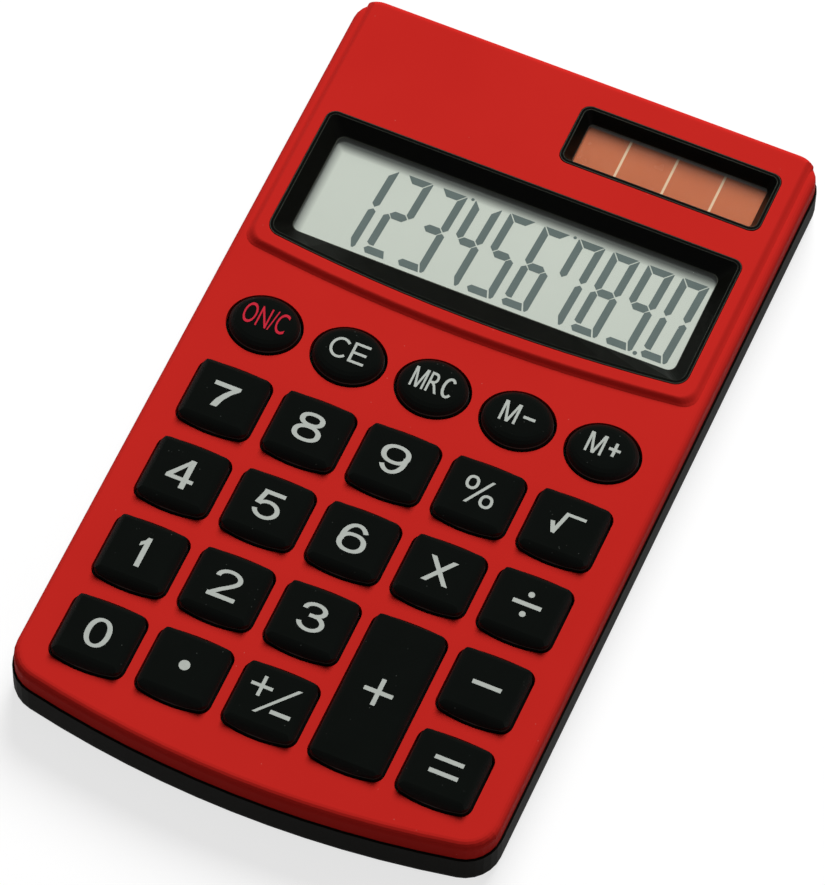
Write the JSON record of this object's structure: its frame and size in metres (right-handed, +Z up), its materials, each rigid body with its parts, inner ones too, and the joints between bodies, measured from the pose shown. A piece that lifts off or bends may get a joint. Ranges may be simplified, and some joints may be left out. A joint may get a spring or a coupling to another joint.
{
  "type": "pocket_calculator",
  "caption": "Slim pocket calculator with a bowed lower end, a raised display panel, sloped display and solar frames, sprung silicone keys and a battery door that swings open",
  "frame": {"origin": "on the resting face, under the middle of the case", "axes": "+X to the right of the keypad, +Y towards the display end, +Z up out of the keys"},
  "size_m": [0.0706, 0.1226, 0.0108],
  "materials": {
    "cover_red": "satin moulded",
    "base_black": "fine grained",
    "bezel_black": "smooth",
    "clear_plate": "clear",
    "display_glass": "pale grey-green",
    "reflector_foil": "satin foil",
    "contact_rubber": "striped elastomer",
    "solar_brown": "amorphous film",
    "lead_red": "wire sleeve",
    "key_rubber": "matte silicone",
    "mat_rubber": "matte silicone",
    "board_green": "lacquered laminate",
    "chip_resin": "cast resin",
    "component_shell": "lacquer",
    "cell_steel": "nickelled",
    "contact_brass": "sprung strip",
    "screw_steel": "plated"
  },
  "bodies": {
    "case": {"front_cover": "cover_red", "back_cover": "base_black", "display_bezel": "bezel_black", "solar_bezel": "bezel_black", "display_window": "clear_plate", "solar_window": "clear_plate", "lcd_front_glass": "display_glass", "lcd_rear_glass": "display_glass", "lcd_reflector": "reflector_foil", "lcd_connector": "contact_rubber", "solar_cell": "solar_brown", "solar_leads": "lead_red", "keypad_mat": "mat_rubber", "circuit_board": "board_green", "chip_cover": "chip_resin", "capacitor": "component_shell", "resistors": "component_shell", "regulator_diode": "component_shell", "battery": "cell_steel", "battery_contact_top": "contact_brass", "battery_contact_side": "contact_brass", "case_screws": "screw_steel"},
    "key_0_body": {"key_0": "key_rubber"},
    "key_point_body": {"key_point": "key_rubber"},
    "key_sign_body": {"key_sign": "key_rubber"},
    "key_plus_body": {"key_plus": "key_rubber"},
    "key_equals_body": {"key_equals": "key_rubber"},
    "key_1_body": {"key_1": "key_rubber"},
    "key_2_body": {"key_2": "key_rubber"},
    "key_3_body": {"key_3": "key_rubber"},
    "key_minus_body": {"key_minus": "key_rubber"},
    "key_4_body": {"key_4": "key_rubber"},
    "key_5_body": {"key_5": "key_rubber"},
    "key_6_body": {"key_6": "key_rubber"},
    "key_times_body": {"key_times": "key_rubber"},
    "key_divide_body": {"key_divide": "key_rubber"},
    "key_7_body": {"key_7": "key_rubber"},
    "key_8_body": {"key_8": "key_rubber"},
    "key_9_body": {"key_9": "key_rubber"},
    "key_percent_body": {"key_percent": "key_rubber"},
    "key_root_body": {"key_root": "key_rubber"},
    "key_on_clear_body": {"key_on_clear": "key_rubber"},
    "key_clear_entry_body": {"key_clear_entry": "key_rubber"},
    "key_memory_recall_body": {"key_memory_recall": "key_rubber"},
    "key_memory_minus_body": {"key_memory_minus": "key_rubber"},
    "key_memory_plus_body": {"key_memory_plus": "key_rubber"},
    "door_body": {"battery_door": "base_black"}
  },
  "joints": [
    {"name": "key_0_press", "type": "slide", "parent": "case", "child": "key_0_body", "axis": [0, 0, -1], "range_m": [0, 0.001], "stiffness_N_per_m": 400},
    {"name": "key_point_press", "type": "slide", "parent": "case", "child": "key_point_body", "axis": [0, 0, -1], "range_m": [0, 0.001], "stiffness_N_per_m": 400},
    {"name": "key_sign_press", "type": "slide", "parent": "case", "child": "key_sign_body", "axis": [0, 0, -1], "range_m": [0, 0.001], "stiffness_N_per_m": 400},
    {"name": "key_plus_press", "type": "slide", "parent": "case", "child": "key_plus_body", "axis": [0, 0, -1], "range_m": [0, 0.001], "stiffness_N_per_m": 400},
    {"name": "key_equals_press", "type": "slide", "parent": "case", "child": "key_equals_body", "axis": [0, 0, -1], "range_m": [0, 0.001], "stiffness_N_per_m": 400},
    {"name": "key_1_press", "type": "slide", "parent": "case", "child": "key_1_body", "axis": [0, 0, -1], "range_m": [0, 0.001], "stiffness_N_per_m": 400},
    {"name": "key_2_press", "type": "slide", "parent": "case", "child": "key_2_body", "axis": [0, 0, -1], "range_m": [0, 0.001], "stiffness_N_per_m": 400},
    {"name": "key_3_press", "type": "slide", "parent": "case", "child": "key_3_body", "axis": [0, 0, -1], "range_m": [0, 0.001], "stiffness_N_per_m": 400},
    {"name": "key_minus_press", "type": "slide", "parent": "case", "child": "key_minus_body", "axis": [0, 0, -1], "range_m": [0, 0.001], "stiffness_N_per_m": 400},
    {"name": "key_4_press", "type": "slide", "parent": "case", "child": "key_4_body", "axis": [0, 0, -1], "range_m": [0, 0.001], "stiffness_N_per_m": 400},
    {"name": "key_5_press", "type": "slide", "parent": "case", "child": "key_5_body", "axis": [0, 0, -1], "range_m": [0, 0.001], "stiffness_N_per_m": 400},
    {"name": "key_6_press", "type": "slide", "parent": "case", "child": "key_6_body", "axis": [0, 0, -1], "range_m": [0, 0.001], "stiffness_N_per_m": 400},
    {"name": "key_times_press", "type": "slide", "parent": "case", "child": "key_times_body", "axis": [0, 0, -1], "range_m": [0, 0.001], "stiffness_N_per_m": 400},
    {"name": "key_divide_press", "type": "slide", "parent": "case", "child": "key_divide_body", "axis": [0, 0, -1], "range_m": [0, 0.001], "stiffness_N_per_m": 400},
    {"name": "key_7_press", "type": "slide", "parent": "case", "child": "key_7_body", "axis": [0, 0, -1], "range_m": [0, 0.001], "stiffness_N_per_m": 400},
    {"name": "key_8_press", "type": "slide", "parent": "case", "child": "key_8_body", "axis": [0, 0, -1], "range_m": [0, 0.001], "stiffness_N_per_m": 400},
    {"name": "key_9_press", "type": "slide", "parent": "case", "child": "key_9_body", "axis": [0, 0, -1], "range_m": [0, 0.001], "stiffness_N_per_m": 400},
    {"name": "key_percent_press", "type": "slide", "parent": "case", "child": "key_percent_body", "axis": [0, 0, -1], "range_m": [0, 0.001], "stiffness_N_per_m": 400},
    {"name": "key_root_press", "type": "slide", "parent": "case", "child": "key_root_body", "axis": [0, 0, -1], "range_m": [0, 0.001], "stiffness_N_per_m": 400},
    {"name": "key_on_clear_press", "type": "slide", "parent": "case", "child": "key_on_clear_body", "axis": [0, 0, -1], "range_m": [0, 0.001], "stiffness_N_per_m": 400},
    {"name": "key_clear_entry_press", "type": "slide", "parent": "case", "child": "key_clear_entry_body", "axis": [0, 0, -1], "range_m": [0, 0.001], "stiffness_N_per_m": 400},
    {"name": "key_memory_recall_press", "type": "slide", "parent": "case", "child": "key_memory_recall_body", "axis": [0, 0, -1], "range_m": [0, 0.001], "stiffness_N_per_m": 400},
    {"name": "key_memory_minus_press", "type": "slide", "parent": "case", "child": "key_memory_minus_body", "axis": [0, 0, -1], "range_m": [0, 0.001], "stiffness_N_per_m": 400},
    {"name": "key_memory_plus_press", "type": "slide", "parent": "case", "child": "key_memory_plus_body", "axis": [0, 0, -1], "range_m": [0, 0.001], "stiffness_N_per_m": 400},
    {"name": "battery_door_swing", "type": "hinge", "parent": "case", "child": "door_body", "pos_m": [0, 0.0404, 0.0007], "axis": [-1, 0, 0], "range_deg": [0, 60]}
  ]
}
